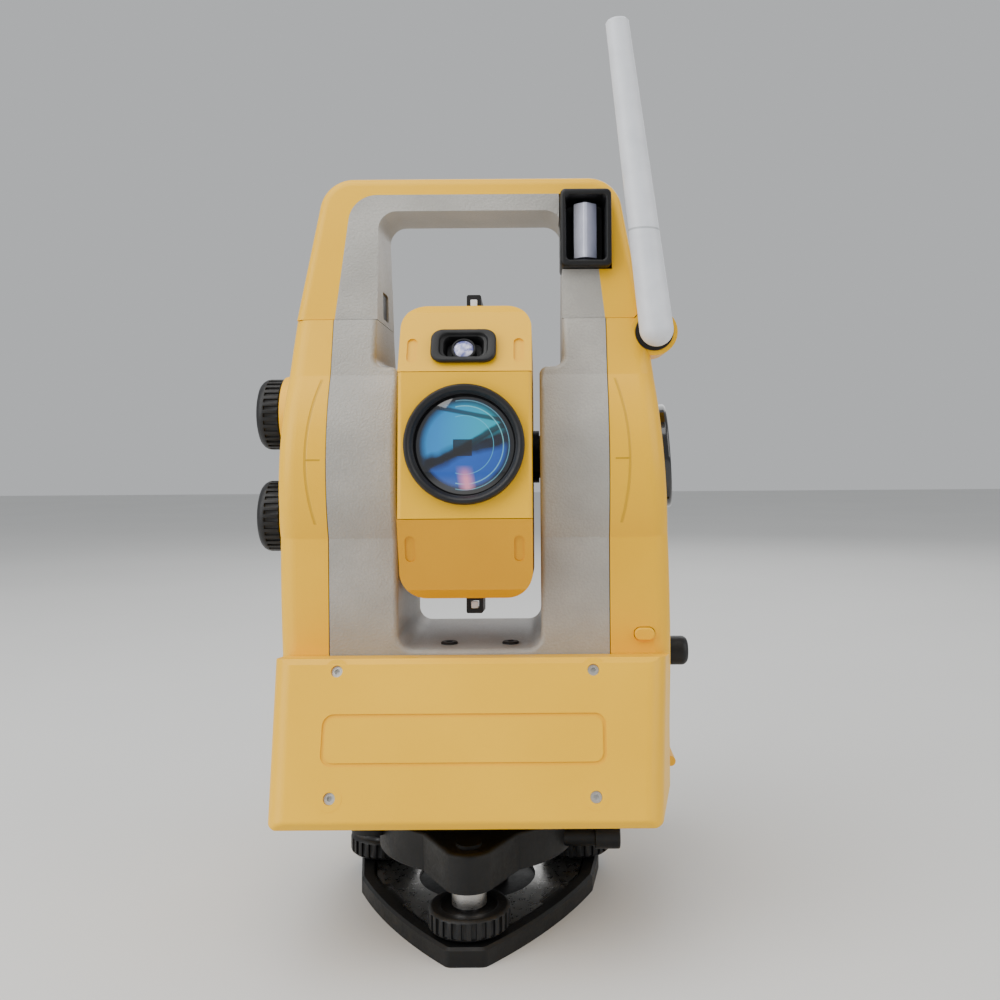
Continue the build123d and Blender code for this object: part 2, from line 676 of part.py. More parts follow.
with BuildPart() as main_board:
    with BuildSketch(beside(105, -72)):
        Rectangle(70, 60)
    extrude(amount=1.6)
    with BuildSketch(beside(108, -73.6)):
        with GridLocations(24, 22, 2, 2):
            Rectangle(12, 10)
    extrude(amount=1.6)
save(main_board, "main_board")

# ================================================================ telescope, drawn level
AXLE_R = 11.0
DRIVE_DISC_R = 25.0
BODY_X, BODY_HALF_Z = 30.4, 33.2
FRONT_Y, BACK_Y = -70.0, 62.0


def shell_blank(sign, inset=0.0):
    """Upper (sign 1) or lower (sign -1) cover of the telescope, solid."""
    low = TRUNNION_Z + sign * (BODY_HALF_Z + GAP)
    high = TRUNNION_Z + sign * ((67.5 if sign > 0 else 69.5) - inset)
    with BuildPart() as blank:
        with BuildSketch(Plane.YZ.offset(-BODY_X + inset)):
            with BuildLine():
                Polyline((FRONT_Y + inset, low), (-57 + inset, high - sign * 4), (-53 + inset, high))
                Polyline((-53 + inset, high), (45 - inset, high), (50 - inset, high - sign * 4))
                Polyline((50 - inset, high - sign * 4), (BACK_Y - inset, low), (FRONT_Y + inset, low))
            make_face()
        extrude(amount=2 * (BODY_X - inset))
        long_edges = blank.edges().filter_by(Axis.Y)
        fillet(long_edges.filter_by(lambda e: abs(e.center().Z - high) < 1), 12 - inset)
    return blank.part


with BuildPart() as telescope_body:
    with BuildSketch(Plane.YZ.offset(-BODY_X)):
        with Locations(((FRONT_Y + BACK_Y) / 2, TRUNNION_Z)):
            Rectangle(BACK_Y - FRONT_Y, 2 * BODY_HALF_Z)
    extrude(amount=2 * BODY_X)
    fillet(telescope_body.edges().filter_by(Axis.Z), 2)
    with BuildSketch(facing(FRONT_Y, 0, TRUNNION_Z)):
        Circle(25)
    extrude(amount=-88, mode=Mode.SUBTRACT)
    with BuildSketch(facing(18, 0, TRUNNION_Z)):
        Circle(15)
    extrude(amount=-34, mode=Mode.SUBTRACT)
    with BuildSketch(facing(50, 0, TRUNNION_Z)):
        Circle(11.4 + RUNNING)
    extrude(amount=-20, mode=Mode.SUBTRACT)
save(telescope_body, "telescope_body", tilted=True)

CAMERA_PLANE = Plane(origin=(-0.7, -65.6, 269.2), x_dir=(1, 0, 0), z_dir=(0, -0.919, 0.394))
GROOVE_PLANE = CAMERA_PLANE.offset(4)

with BuildPart() as top_cover:
    add(shell_blank(1))
    add(shell_blank(1, WALL), mode=Mode.SUBTRACT)
    with BuildSketch(GROOVE_PLANE):
        with Locations((-23.8, -1), (25.2, -1)):
            SlotOverall(13, 4.6, rotation=90)
    extrude(amount=-5.6, mode=Mode.SUBTRACT)
    with BuildSketch(CAMERA_PLANE.offset(4)):
        RectangleRounded(20.5, 13, 2)
    extrude(amount=-10, mode=Mode.SUBTRACT)
save(top_cover, "telescope_top_cover", tilted=True)

LOWER_PLANE = Plane(origin=(0, -65, 176), x_dir=(1, 0, 0), z_dir=(0, -0.93, -0.367))
with BuildPart() as lower_shell:
    add(shell_blank(-1))
    add(shell_blank(-1, WALL), mode=Mode.SUBTRACT)
    with BuildSketch(LOWER_PLANE.offset(4)):
        with Locations((-25, 1), (24.4, 1)):
            SlotOverall(12.5, 4.6, rotation=90)
    extrude(amount=-5.6, mode=Mode.SUBTRACT)
save(lower_shell, "telescope_lower_cover", tilted=True)

with BuildPart() as camera_bezel:
    with BuildSketch(CAMERA_PLANE.offset(0.6)):
        RectangleRounded(30, 17.6, 4)
        RectangleRounded(17, 10, 2, mode=Mode.SUBTRACT)
    extrude(amount=2)
    with BuildSketch(CAMERA_PLANE.offset(0.6)):
        RectangleRounded(20.1, 12.6, 2)
        RectangleRounded(17, 10, 2, mode=Mode.SUBTRACT)
    extrude(amount=-4)
save(camera_bezel, "camera_bezel", tilted=True)

with BuildPart() as camera_lens:
    with BuildSketch(CAMERA_PLANE.offset(-9)):
        Circle(4.9)
    extrude(amount=8.5)
    fillet(camera_lens.edges().filter_by(GeomType.CIRCLE).sort_by(Axis.Y)[0], 1.5)
save(camera_lens, "camera_lens", tilted=True)

with BuildPart() as objective_ring:
    with BuildSketch(facing(FRONT_Y - 5.2, 0, TRUNNION_Z)):
        Circle(27.2)
    extrude(amount=-5.2)
    chamfer(objective_ring.edges().filter_by(GeomType.CIRCLE).sort_by(Axis.Y)[0], 1.2)
    with BuildSketch(facing(FRONT_Y - 5.2, 0, TRUNNION_Z)):
        Circle(23.6)
    extrude(amount=-5.2, mode=Mode.SUBTRACT)
    with BuildSketch(facing(FRONT_Y, 0, TRUNNION_Z)):
        Circle(24.9)
        Circle(22.3, mode=Mode.SUBTRACT)
    extrude(amount=-18)
save(objective_ring, "objective_ring", tilted=True)


def lens(y, radius, edge, bulge):
    """Biconvex lens on the optical axis with its front rim at y."""
    ball = (radius**2 + bulge**2) / (2 * bulge)
    with BuildPart() as glass:
        with BuildSketch(Plane.YZ):
            with BuildLine():
                RadiusArc((y, TRUNNION_Z + radius), (y - bulge, TRUNNION_Z), -ball)
                Line((y - bulge, TRUNNION_Z), (y + edge + bulge, TRUNNION_Z))
                RadiusArc((y + edge + bulge, TRUNNION_Z), (y + edge, TRUNNION_Z + radius), -ball)
                Line((y + edge, TRUNNION_Z + radius), (y, TRUNNION_Z + radius))
            make_face()
        revolve(axis=Axis((0, 0, TRUNNION_Z), (0, 1, 0)))
    return glass.part


save(lens(-70, 22.2, 4, 2.4), "objective_lens", tilted=True)
save(lens(23, 12, 2, 1.5), "focusing_lens", tilted=True)
save(lens(58, 10.2, 2, 1.2), "eyepiece_lens", tilted=True)

with BuildPart() as prism_block:
    with BuildSketch(facing(-40, 0, TRUNNION_Z)):
        Rectangle(13, 13)
    extrude(amount=-13)
    with BuildSketch(Plane.YZ.offset(-24.8)):
        with Locations((-33.5, TRUNNION_Z)):
            Rectangle(8, 2)
    extrude(amount=18.3)
save(prism_block, "distance_meter_prism", tilted=True)

with BuildPart() as focus_cell:
    with BuildSketch(facing(20, 0, TRUNNION_Z)):
        Circle(14.9)
        Circle(12 + RUNNING, mode=Mode.SUBTRACT)
    extrude(amount=-10)
save(focus_cell, "focusing_cell", tilted=True)

with BuildPart() as tilt_axles:
    for side in (-1, 1):
        with BuildSketch(beside(TRUNNION_Z, side * BODY_X)):
            Circle(13.5)
        extrude(amount=side * 3.2)
        with BuildSketch(beside(TRUNNION_Z, side * BODY_X)):
            Circle(AXLE_R)
        extrude(amount=side * 45)
    with BuildSketch(beside(TRUNNION_Z, -70)):
        Circle(DRIVE_DISC_R)
    extrude(amount=-4)
save(tilt_axles, "tilt_axles", tilted=True)

with BuildPart() as tilt_bearings:
    for side in (-1, 1):
        with BuildSketch(beside(TRUNNION_Z, side * 35)):
            Circle(BEARING_R)
            Circle(AXLE_R + RUNNING, mode=Mode.SUBTRACT)
        extrude(amount=side * 28)
save(tilt_bearings, "tilt_bearings")

with BuildPart() as vertical_circle:
    with BuildSketch(beside(TRUNNION_Z, 70)):
        Circle(29)
        Circle(AXLE_R, mode=Mode.SUBTRACT)
    extrude(amount=2.5)
save(vertical_circle, "vertical_circle", tilted=True)

ROLLER_R = 5.0
ROLLER_Z = TRUNNION_Z - DRIVE_DISC_R - ROLLER_R - 0.1
with BuildPart() as tilt_roller:
    with BuildSketch(beside(ROLLER_Z, -69)):
        Circle(ROLLER_R)
    extrude(amount=-6)
    with BuildSketch(beside(ROLLER_Z, -58.5)):
        Circle(2)
    extrude(amount=-12)
save(tilt_roller, "tilt_roller")

with BuildPart() as tilt_motor:
    with BuildSketch(beside(ROLLER_Z - 24, -POCKET_FLOOR)):
        Rectangle(22, 58)
    extrude(amount=POCKET_FLOOR - 67)
    with BuildSketch(beside(ROLLER_Z, -50)):
        Circle(2 + RUNNING)
    extrude(amount=-20, mode=Mode.SUBTRACT)
save(tilt_motor, "tilt_motor")

for name, radius, y, length in (("focus_ring", 22.0, BACK_Y + 0.5, 9.0), ("eyepiece_ring", 16.0, BACK_Y + 10, 11.0)):
    with BuildPart() as ring:
        with BuildSketch(facing(y, 0, TRUNNION_Z)):
            Circle(radius)
        extrude(amount=-length)
        chamfer(ring.edges().filter_by(GeomType.CIRCLE), 1)
        with BuildSketch(facing(y, 0, TRUNNION_Z)):
            with PolarLocations(radius + 0.6, 36):
                Circle(1.1)
        extrude(amount=-length, mode=Mode.SUBTRACT)
        with BuildSketch(facing(y, 0, TRUNNION_Z)):
            Circle(11.5)
        extrude(amount=-length, mode=Mode.SUBTRACT)
    save(ring, name, tilted=True)

with BuildPart() as eyepiece_tube:
    with BuildSketch(facing(54, 0, TRUNNION_Z)):
        Circle(11.4)
        Circle(10.2, mode=Mode.SUBTRACT)
    extrude(amount=-30)
save(eyepiece_tube, "eyepiece_tube", tilted=True)

with BuildPart() as sights:
    with BuildSketch(facing(-42, 2.5, TRUNNION_Z + 71.5)):
        RectangleRounded(7, 8, 1)
        Rectangle(3.4, 3.4, mode=Mode.SUBTRACT)
    extrude(amount=-50)
    with BuildSketch(facing(-38, 2.5, TRUNNION_Z - 73.5)):
        RectangleRounded(8, 8, 1)
        Rectangle(4, 4, mode=Mode.SUBTRACT)
    extrude(amount=-20)
save(sights, "sights", tilted=True)
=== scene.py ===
import json
import math

import bpy
from mathutils import Matrix, Vector

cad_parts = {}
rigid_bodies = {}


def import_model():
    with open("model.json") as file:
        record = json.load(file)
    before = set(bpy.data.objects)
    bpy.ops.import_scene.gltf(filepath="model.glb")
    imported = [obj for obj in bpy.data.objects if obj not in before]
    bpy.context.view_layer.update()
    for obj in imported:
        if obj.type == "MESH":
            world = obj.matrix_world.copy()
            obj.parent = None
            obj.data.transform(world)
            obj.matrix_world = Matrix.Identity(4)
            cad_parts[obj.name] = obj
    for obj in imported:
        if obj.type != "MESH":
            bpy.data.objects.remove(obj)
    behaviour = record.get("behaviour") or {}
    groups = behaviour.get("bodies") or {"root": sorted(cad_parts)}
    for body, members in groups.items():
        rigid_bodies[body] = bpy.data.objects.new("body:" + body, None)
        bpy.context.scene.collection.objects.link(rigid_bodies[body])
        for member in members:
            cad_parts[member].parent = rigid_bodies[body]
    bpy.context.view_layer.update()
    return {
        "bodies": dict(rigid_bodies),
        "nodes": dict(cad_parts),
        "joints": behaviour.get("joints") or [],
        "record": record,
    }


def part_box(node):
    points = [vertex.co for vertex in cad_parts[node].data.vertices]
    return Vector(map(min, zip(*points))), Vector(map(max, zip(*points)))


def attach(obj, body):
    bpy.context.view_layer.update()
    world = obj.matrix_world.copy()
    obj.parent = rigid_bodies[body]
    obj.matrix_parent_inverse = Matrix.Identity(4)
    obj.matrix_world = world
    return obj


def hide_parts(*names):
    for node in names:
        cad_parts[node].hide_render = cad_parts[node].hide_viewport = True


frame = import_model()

mm = 0.001
print("frame loaded:", len(frame["nodes"]), "nodes")


# ---- shader helpers
class Tone:
    # wraps one output socket so that sums and products add Math nodes
    def __init__(self, shade, socket):
        self.shade, self.socket = shade, socket

    def math(self, operation, other, swap=False):
        pair = (other, self) if swap else (self, other)
        return self.shade.node("ShaderNodeMath", {"operation": operation}, {0: pair[0], 1: pair[1]})

    def __add__(self, other):
        return self.math("ADD", other)

    __radd__ = __add__

    def __mul__(self, other):
        return self.math("MULTIPLY", other)

    __rmul__ = __mul__

    def __sub__(self, other):
        return self.math("SUBTRACT", other)

    def __rsub__(self, other):
        return self.math("SUBTRACT", other, swap=True)

    def __pow__(self, other):
        return self.math("POWER", other)

    def over(self, other):
        return self.math("GREATER_THAN", other)

    def under(self, other):
        return self.math("LESS_THAN", other)

    def unsigned(self):
        return self.shade.node("ShaderNodeMath", {"operation": "ABSOLUTE"}, {0: self})

    def fraction(self):
        return self.shade.node("ShaderNodeMath", {"operation": "FRACT"}, {0: self})

    def clamped(self):
        return self.shade.node("ShaderNodeClamp", {}, {0: self})


class Shade:
    # one material and the few ways of adding nodes to it
    def __init__(self, name):
        self.material = bpy.data.materials.new(name)
        self.material.use_nodes = True
        self.tree = self.material.node_tree
        self.shader = next(n for n in self.tree.nodes if n.type == "BSDF_PRINCIPLED")
        self.place = self.node("ShaderNodeTexCoord", {}, {}, "Object")

    def node(self, kind, settings, inputs, output=0):
        node = self.tree.nodes.new(kind)
        for key, value in settings.items():
            setattr(node, key, value)
        for key, value in inputs.items():
            self.feed(node.inputs[key], value)
        return Tone(self, node.outputs[output])

    def feed(self, target, value):
        if isinstance(value, Tone):
            self.tree.links.new(value.socket, target)
        elif isinstance(value, tuple) and len(value) == 3 and len(target.default_value) == 4:
            target.default_value = (*value, 1)
        else:
            target.default_value = value

    def set(self, **inputs):
        for key, value in inputs.items():
            self.feed(self.shader.inputs[key.replace("_", " ")], value)
        return self

    def noise(self, perMetre, detail=3, roughness=0.5, where=None):
        return self.node("ShaderNodeTexNoise", {}, {"Vector": where or self.place, "Scale": perMetre, "Detail": detail,
                                                    "Roughness": roughness})

    def cells(self, perMetre):
        return self.node("ShaderNodeTexVoronoi", {}, {"Vector": self.place, "Scale": perMetre}, "Distance")

    def axis(self, letter):
        return self.node("ShaderNodeSeparateXYZ", {}, {0: self.place}, letter)

    def span(self, value, low, high, toLow=0.0, toHigh=1.0):
        return self.node("ShaderNodeMapRange", {}, {"Value": value, "From Min": low, "From Max": high, "To Min": toLow,
                                                    "To Max": toHigh})

    def blend(self, factor, one, two):
        mix = self.tree.nodes.new("ShaderNodeMix")
        mix.data_type = "RGBA"
        self.feed(mix.inputs[0], factor)
        self.feed(mix.inputs[6], one)
        self.feed(mix.inputs[7], two)
        return Tone(self, mix.outputs[2])

    def bump(self, height, depth, strength=1.0):
        bumped = self.node("ShaderNodeBump", {}, {"Height": height, "Distance": depth, "Strength": strength})
        self.feed(self.shader.inputs["Normal"], bumped)
        return self


def stretched(shade, scale):
    return shade.node("ShaderNodeMapping", {}, {"Vector": shade.place, "Scale": scale})


# ---- finishes
def makeMustardPaint(name, light, deep, padShadeAndMarks=False):
    # satin powder paint with a fine orange peel and rubbed specks; padShadeAndMarks adds painted shade along the
    # crescent creases and the real centre marks at the arms
    paint = Shade(name)
    cloud = paint.noise(16, 3)
    peel = paint.noise(1500, 2, 0.6)
    rub = paint.span(paint.noise(260, 5, 0.7), 0.68, 0.76)
    color = paint.blend(paint.span(cloud, 0.3, 0.7), deep, light)
    color = paint.blend(rub * 0.15, color, tuple(v * 1.05 + 0.02 for v in light))
    height = peel + paint.noise(520, 2) * 0.5
    if padShadeAndMarks:
        x, z = paint.axis("X") * 1000, paint.axis("Z") * 1000 - 224
        wide = x.unsigned()
        front = paint.span(paint.axis("Y") * 1000, -38, -40).clamped()
        out = wide - 76.4 + z * z * 0.0042
        # painted shade: the crescent creases are darkened in colour as well as pressed in
        paintedCreaseShade = paint.span(out.unsigned(), 0.9, 0.35).clamped()
        paintedCreaseShade = paintedCreaseShade * z.under(38) * (z * -1).under(31)
        mark = z.under(-0.2) * (z * -1).under(1.0) * wide.over(69.5) * wide.under(76.4)
        # lines joins the painted crease shade and the centre marks, which are darkened and pressed in together
        lines = ((paintedCreaseShade * 0.75 + mark) * front).clamped()
        color = paint.blend(lines * 0.55, color, tuple(v * 0.3 for v in deep))
        height = height - lines * 6
    paint.set(Base_Color=color, Roughness=paint.span(peel + cloud * 0.6, 0.5, 1.1, 0.32, 0.46),
              Specular_IOR_Level=0.3)
    return paint.bump(height, 0.00006, 0.8).material


def makeGreyGrain(name, light, deep):
    # warm grey textured paint, with pebbles about a millimetre across
    paint = Shade(name)
    pebble = paint.cells(900)
    fine = paint.noise(2100, 2)
    cloud = paint.noise(34, 4)
    color = paint.blend(paint.span(cloud, 0.3, 0.7), deep, light)
    color = paint.blend(paint.span(pebble, 0.25, 0.75) * 0.4, color, deep)
    paint.set(Base_Color=color, Roughness=paint.span(pebble + fine * 0.5, 0.3, 1.1, 0.5, 0.34))
    return paint.bump(1 - pebble + fine * 0.35, 0.00016, 0.85).material


def makeSatinBlack(name, base=(0.006, 0.006, 0.0065), low=0.38, grain=900):
    # moulded black with a fine spark texture and lightly polished patches
    black = Shade(name)
    spark = black.noise(grain, 3, 0.65)
    worn = black.span(black.noise(75, 4), 0.45, 0.7)
    color = black.blend(worn * 0.4, base, tuple(v * 1.8 + 0.001 for v in base))
    black.set(Base_Color=color, Specular_IOR_Level=0.35, Roughness=black.span(spark - worn * 0.25, 0.2, 0.8, low, low + 0.2))
    return black.bump(spark, 0.00005, 0.7).material


def makePolishedBlack(name):
    gloss = Shade(name)
    dust = gloss.span(gloss.noise(900, 4, 0.7), 0.62, 0.72)
    gloss.set(Base_Color=gloss.blend(dust * 0.15, (0.006, 0.006, 0.008), (0.12, 0.12, 0.12)),
              Roughness=gloss.span(gloss.noise(140, 4), 0.3, 0.7, 0.06, 0.16), Coat_Weight=0.5)
    return gloss.material


def makeTurnedMetal(name, light, deep, rough=0.22):
    # lathe lines run round the vertical axis, over a faint stain
    metal = Shade(name)
    lines = metal.noise(60, 4, 0.7, stretched(metal, (4, 4, 90)))
    stain = metal.noise(60, 4)
    metal.set(Base_Color=metal.blend(metal.span(stain, 0.3, 0.7), deep, light), Metallic=1.0,
              Roughness=metal.span(lines, 0.3, 0.7, rough, rough + 0.18))
    return metal.bump(lines, 0.00002, 0.6).material


def makePaleSatin(name):
    pale = Shade(name)
    grain = pale.noise(1800, 3)
    height = pale.axis("Z")
    seam = pale.span(height, 0.3318, 0.3321) * pale.span(height, 0.3330, 0.3327)  # moulded joint half way up
    smear = pale.span(pale.noise(90, 4), 0.4, 0.75)
    color = pale.blend(smear, (0.68, 0.70, 0.74), (0.60, 0.62, 0.66))
    pale.set(Base_Color=pale.blend(seam * 0.55, color, (0.2, 0.21, 0.22)), Roughness=pale.span(grain, 0.3, 0.7, 0.3, 0.42))
    return pale.bump(grain * 0.3 - seam, 0.0001, 0.6).material


def makeClearGlass(name, tint=(0.9, 0.95, 0.96), alpha=0.35):
    clear = Shade(name)
    smear = clear.noise(120, 4)
    clear.set(Base_Color=clear.blend(smear, tint, tuple(v * 0.92 for v in tint)),
              Roughness=clear.span(smear, 0.3, 0.7, 0.02, 0.07), Alpha=alpha, IOR=1.5)
    return clear.material


def makeBoard(name):
    board = Shade(name)
    tracks = board.cells(420).over(0.42)
    board.set(Base_Color=board.blend(tracks, (0.02, 0.14, 0.06), (0.04, 0.26, 0.12)), Roughness=0.35)
    return board.material


def makeScreen():
    # a lit display: dark margin, pale picture, two columns of plain blocks and a row of tabs
    screen = Shade("screenFace")
    x, z = screen.axis("X") * 1000, screen.axis("Z") * 1000
    wide = x.unsigned()
    inside = wide.under(43) * z.over(79.5) * z.under(113.5)
    row = (z * 0.2).fraction()
    bars = row.over(0.45) * wide.over(4) * wide.under(38) * z.over(88)
    tabs = (x * 0.06).fraction().over(0.14) * z.under(86)
    color = screen.blend(bars, (0.30, 0.40, 0.46), (0.10, 0.17, 0.24))
    color = screen.blend(tabs, color, (0.06, 0.11, 0.17))
    color = screen.blend(inside, (0.008, 0.009, 0.011), color)
    smear = screen.noise(80, 4)
    screen.set(Base_Color=color, Roughness=screen.span(smear, 0.3, 0.7, 0.06, 0.14), Coat_Weight=0.6)
    return screen.bump(smear, 0.00002, 0.3).material


mustard = ((0.90, 0.49, 0.006), (0.84, 0.45, 0.004))  # light and deep
# painted shade: a darker, more orange copy of the mustard, for the lower cover because it faces down
shadedLowerTones = ((0.72, 0.34, 0.002), (0.66, 0.30, 0.0015))
finishes = {
    "yellow_paint": makeMustardPaint("mustardPaint", *mustard),
    "grey_paint": makeGreyGrain("greyGrain", (0.40, 0.385, 0.355), (0.30, 0.29, 0.265)),
    "black_plastic": makeSatinBlack("satinBlack"),
    "gloss_black": makePolishedBlack("polishedBlack"),
    "black_metal": makeSatinBlack("anodisedBlack", (0.0025, 0.0025, 0.0026), 0.42, 600),
    "steel": makeTurnedMetal("turnedSteel", (0.62, 0.61, 0.59), (0.42, 0.41, 0.40)),
    "screw_steel": makeTurnedMetal("zincSteel", (0.75, 0.74, 0.70), (0.55, 0.54, 0.5), 0.28),
    "alloy": makeTurnedMetal("millAlloy", (0.7, 0.7, 0.71), (0.5, 0.5, 0.51), 0.35),
    "brass": makeTurnedMetal("turnedBrass", (0.75, 0.53, 0.22), (0.55, 0.36, 0.13)),
    "pale_plastic": makePaleSatin("paleSatin"),
    "coated_glass": makeClearGlass("coatedGlass", (0.03, 0.09, 0.30), 0.5),
    "clear_glass": makeClearGlass("clearGlass"),
    "screen_glass": makeClearGlass("screenGlass", (0.012, 0.016, 0.02), 0.92),
    "dark_grey_plastic": makeSatinBlack("slateGrey", (0.010, 0.010, 0.011), 0.34),
    "board_green": makeBoard("boardGreen"),
    "key_grey": makeSatinBlack("keyRubber", (0.16, 0.165, 0.17), 0.5),
}
# mustard paint with painted shade in the crescent creases, for the side covers
padShadePaint = makeMustardPaint("padShadePaint", *mustard, padShadeAndMarks=True)
# mustard paint darkened as painted shade for the downward-facing lower cover
shadedLowerPaint = makeMustardPaint("shadedLowerPaint", *shadedLowerTones)

special = {"display_window": makeScreen(), "left_cover": padShadePaint, "right_cover": padShadePaint,
           "telescope_lower_cover": shadedLowerPaint}
slotOf = {part["node"]: part["material_slot"] for part in frame["record"]["subparts"]}
for nodeName in frame["nodes"]:
    shape = bpy.data.objects[nodeName]
    shape.data.materials.clear()
    shape.data.materials.append(special.get(nodeName, finishes[slotOf[nodeName]]))
print("finishes made:", len(finishes))

# ---- camera, floor and light
view = {"place": (0.034, -0.520, 0.227), "roll": -0.4, "lens": 36.0, "shift": (-0.040, -0.049)}
lens = bpy.data.cameras.new("viewCamera")
lens.lens = view["lens"]
lens.sensor_width = 36.0
lens.clip_start = 0.01
lens.shift_x, lens.shift_y = view["shift"]
viewCamera = bpy.data.objects.new("viewCamera", lens)
bpy.context.scene.collection.objects.link(viewCamera)
aim = Matrix.Rotation(math.radians(90), 4, "X") @ Matrix.Rotation(math.radians(view["roll"]), 4, "Z")
viewCamera.matrix_world = Matrix.Translation(view["place"]) @ aim
bpy.context.scene.camera = viewCamera

bpy.ops.mesh.primitive_plane_add(size=8.0, location=(0, 1.0, 0))
floor = bpy.context.object
floor.name = "studioFloor"
cloth = Shade("paleFloor")
cloth.set(Base_Color=cloth.blend(cloth.noise(3, 3), (0.62, 0.62, 0.61), (0.68, 0.68, 0.67)), Roughness=0.7)
floor.data.materials.append(cloth.material)

lamps = {
    "skyPanel": {"place": (-0.5, -0.5, 1.5), "size": 1.6, "power": 24, "tint": (1.0, 0.99, 0.97)},
    "leftPanel": {"place": (-1.2, -0.8, 0.6), "size": 1.0, "power": 12, "tint": (0.96, 0.98, 1.0)},
    "rightPanel": {"place": (1.3, -0.6, 0.8), "size": 1.2, "power": 10, "tint": (1.0, 0.98, 0.95)},
    "backPanel": {"place": (0.3, 1.4, 1.2), "size": 1.4, "power": 9, "tint": (1.0, 1.0, 1.0)},
}
for lampName, lamp in lamps.items():
    data = bpy.data.lights.new(lampName, "AREA")
    data.size = lamp["size"]
    data.energy = lamp["power"]
    data.color = lamp["tint"]
    panel = bpy.data.objects.new(lampName, data)
    bpy.context.scene.collection.objects.link(panel)
    panel.location = lamp["place"]
    panel.rotation_euler = (Vector((0, 0, 0.2)) - Vector(lamp["place"])).to_track_quat("-Z", "Y").to_euler()
world = bpy.data.worlds.new("studioAir")
bpy.context.scene.world = world
world.use_nodes = True
world.node_tree.nodes["Background"].inputs["Color"].default_value = (0.86, 0.88, 0.9, 1)
world.node_tree.nodes["Background"].inputs["Strength"].default_value = 0.6
print("camera and light placed")

# ---- modelling helpers
trunnion = Vector((0, 0, 0.224))
tilt = Matrix.Translation(trunnion) @ Matrix.Rotation(math.radians(-5), 4, "X")  # telescope's own frame
toFront = Matrix.Rotation(math.radians(90), 4, "X")  # turns a piece made along +Z to look along -Y
toLeft = Matrix.Rotation(math.radians(-90), 4, "Y")


def at(x, y, z):
    return Matrix.Translation((x * mm, y * mm, z * mm))


def clear():
    if bpy.context.object and bpy.context.object.mode != "OBJECT":
        bpy.ops.object.mode_set(mode="OBJECT")
    bpy.ops.object.select_all(action="DESELECT")


def pick(piece, test):
    # leaves edit mode on, with only the faces that pass the test selected
    bpy.ops.object.mode_set(mode="OBJECT")
    for vertex in piece.data.vertices:
        vertex.select = False
    for edge in piece.data.edges:
        edge.select = False
    for face in piece.data.polygons:
        face.select = test(face.center / mm, face.normal)
    bpy.ops.object.mode_set(mode="EDIT")
    bpy.ops.mesh.select_mode(type="FACE")


def bevelled(piece, width, segments=2, angle=35):
    clear()
    bpy.context.view_layer.objects.active = piece
    piece.select_set(True)
    soften = piece.modifiers.new("soften", "BEVEL")
    soften.width = width * mm
    soften.segments = segments
    soften.limit_method = "ANGLE"
    soften.angle_limit = math.radians(angle)
    bpy.ops.object.modifier_apply(modifier="soften")


def settle(piece, name, body, finish, place, smooth=35):
    # puts a piece in its place, with the place in its mesh, and fastens it to its body
    clear()
    bpy.context.view_layer.objects.active = piece
    piece.select_set(True)
    piece.matrix_world = place @ piece.matrix_world
    bpy.ops.object.transform_apply(location=True, rotation=True, scale=True)
    piece.name = name
    piece.data.materials.clear()
    piece.data.materials.append(finish)
    bpy.ops.object.shade_smooth_by_angle(angle=math.radians(smooth))
    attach(piece, body)
    return piece


def turned(steps, segments=96):
    # a lathe solid: each step is a radius and a height in millimetres, from the back up
    clear()
    radius, height = steps[0]
    bpy.ops.mesh.primitive_circle_add(vertices=segments, radius=radius * mm, fill_type="NGON", location=(0, 0, height * mm))
    piece = bpy.context.object
    bpy.ops.object.transform_apply(location=True, rotation=False, scale=False)
    bpy.ops.object.mode_set(mode="EDIT")
    bpy.ops.mesh.select_all(action="SELECT")
    for nextRadius, nextHeight in steps[1:]:
        rise = (0, 0, (nextHeight - height) * mm)
        bpy.ops.mesh.extrude_region_move(TRANSFORM_OT_translate={"value": rise})
        grow = nextRadius / radius
        bpy.ops.transform.resize(value=(grow, grow, 1), center_override=(0, 0, nextHeight * mm))
        radius, height = nextRadius, nextHeight
    bpy.ops.mesh.select_all(action="SELECT")
    bpy.ops.mesh.normals_make_consistent(inside=False)
    bpy.ops.object.mode_set(mode="OBJECT")
    return piece


def stepped(steps, corner):
    # like turned, but with a rounded rectangle: each step is a width, a height and how far out it is
    clear()
    width, height, out = steps[0]
    bpy.ops.mesh.primitive_plane_add(size=1.0, location=(0, 0, out * mm))
    piece = bpy.context.object
    piece.scale = (width * mm, height * mm, 1)
    bpy.ops.object.transform_apply(location=True, rotation=False, scale=True)
    bpy.ops.object.mode_set(mode="EDIT")
    bpy.ops.mesh.select_all(action="SELECT")
    bpy.ops.mesh.bevel(offset=corner * mm, segments=6, affect="VERTICES")
    bpy.ops.mesh.select_all(action="SELECT")
    for nextWidth, nextHeight, nextOut in steps[1:]:
        bpy.ops.mesh.extrude_region_move(TRANSFORM_OT_translate={"value": (0, 0, (nextOut - out) * mm)})
        bpy.ops.transform.resize(value=(nextWidth / width, nextHeight / height, 1), center_override=(0, 0, nextOut * mm))
        width, height, out = nextWidth, nextHeight, nextOut
    bpy.ops.mesh.select_all(action="SELECT")
    bpy.ops.mesh.normals_make_consistent(inside=False)
    bpy.ops.object.mode_set(mode="OBJECT")
    return piece


def flutedKnob(steps, flutes, depth, low, high):
    # a lathe solid whose widest band, between two heights, has grooves pressed into it
    piece = turned(steps, flutes * 4)
    step = 2 * math.pi / flutes

    def inGroove(center, normal):
        side = abs(normal.z) < 0.3 and low < center.z < high
        return side and (math.atan2(center.y, center.x) % step) / step < 0.5

    pick(piece, inGroove)
    bpy.ops.mesh.extrude_region_shrink_fatten(TRANSFORM_OT_shrink_fatten={"value": -depth * mm})
    bpy.ops.object.mode_set(mode="OBJECT")
    return piece


# ---- levelling and jog knobs
footKnob = {"radius": 19.0, "low": 9.6, "high": 19.6, "flutes": 26, "depth": 1.3}


